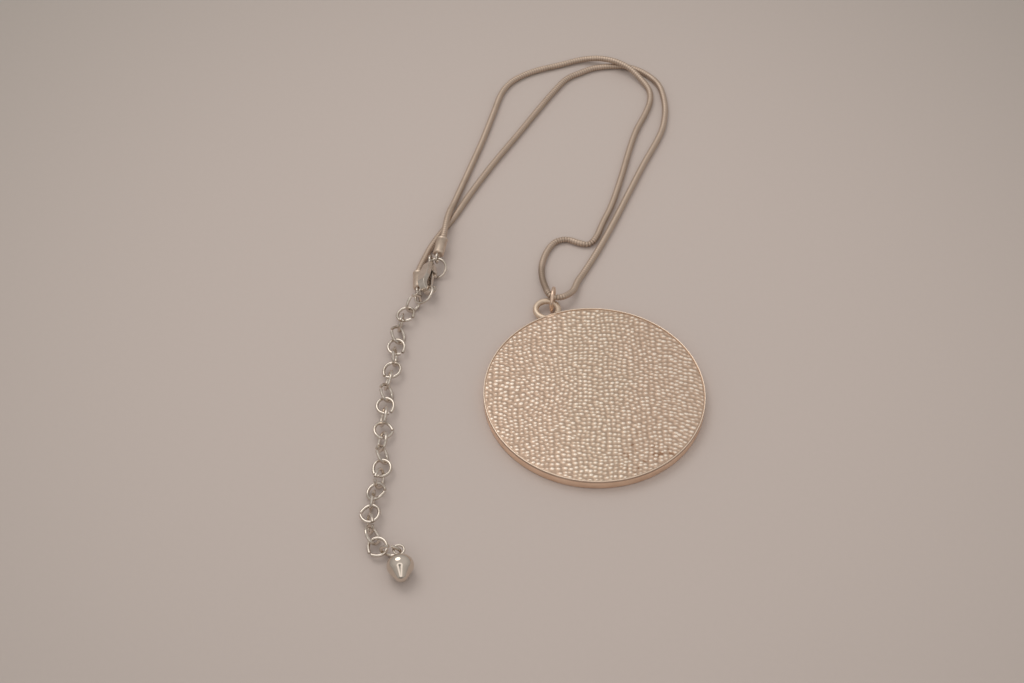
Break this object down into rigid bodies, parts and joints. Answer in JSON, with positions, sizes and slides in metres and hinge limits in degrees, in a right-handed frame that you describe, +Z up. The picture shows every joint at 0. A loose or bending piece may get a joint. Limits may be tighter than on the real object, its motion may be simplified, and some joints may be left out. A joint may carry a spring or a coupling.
{
  "type": "disc pendant necklace",
  "caption": "Round pebbled disc pendant on a folded snake chain with end caps, a lobster clasp and a link extender that ends in a drop, laid flat",
  "frame": {"origin": "centre of the disc's back face, on the surface that the necklace lies on", "axes": "+Z up from the surface, +Y from the disc towards the top of the chain, +X to the side away from the clasp"},
  "size_m": [0.0685, 0.15, 0.0056],
  "materials": {
    "rose_metal": "rose gold plate, bright lip and satin pebbles",
    "chain_metal": "bright warm silver plate",
    "cap_metal": "satin warm silver plate",
    "silver_metal": "polished warm silver plate",
    "ball_metal": "mirror polished warm silver plate"
  },
  "bodies": {
    "necklace": {"pendant_disc": "rose_metal", "pendant_ring": "rose_metal", "chain_outer": "chain_metal", "chain_inner": "chain_metal", "cap_a": "cap_metal", "cap_b": "cap_metal", "join_ring": "silver_metal", "clasp_body": "silver_metal", "hitch_ring": "silver_metal", "link_01": "silver_metal", "link_02": "silver_metal", "link_03": "silver_metal", "link_04": "silver_metal", "link_05": "silver_metal", "link_06": "silver_metal", "link_07": "silver_metal", "link_08": "silver_metal", "link_09": "silver_metal", "link_10": "silver_metal", "link_11": "silver_metal", "link_12": "silver_metal", "link_13": "silver_metal", "link_14": "silver_metal", "link_15": "silver_metal", "link_16": "silver_metal", "link_17": "silver_metal", "link_18": "silver_metal", "link_19": "silver_metal", "link_20": "silver_metal", "link_21": "silver_metal", "link_22": "silver_metal", "link_23": "silver_metal", "ball_drop": "ball_metal"},
    "clasp_lever": {"clasp_lever": "silver_metal"}
  },
  "joints": [
    {"name": "clasp_lever_hinge", "type": "hinge", "parent": "necklace", "child": "clasp_lever", "pos_m": [-0.03401, 0.03324, 0.00197], "axis": [-0.7799, 0.0049, -0.6259], "range_deg": [0, 15], "stiffness_Nm_per_rad": 0.0001}
  ]
}
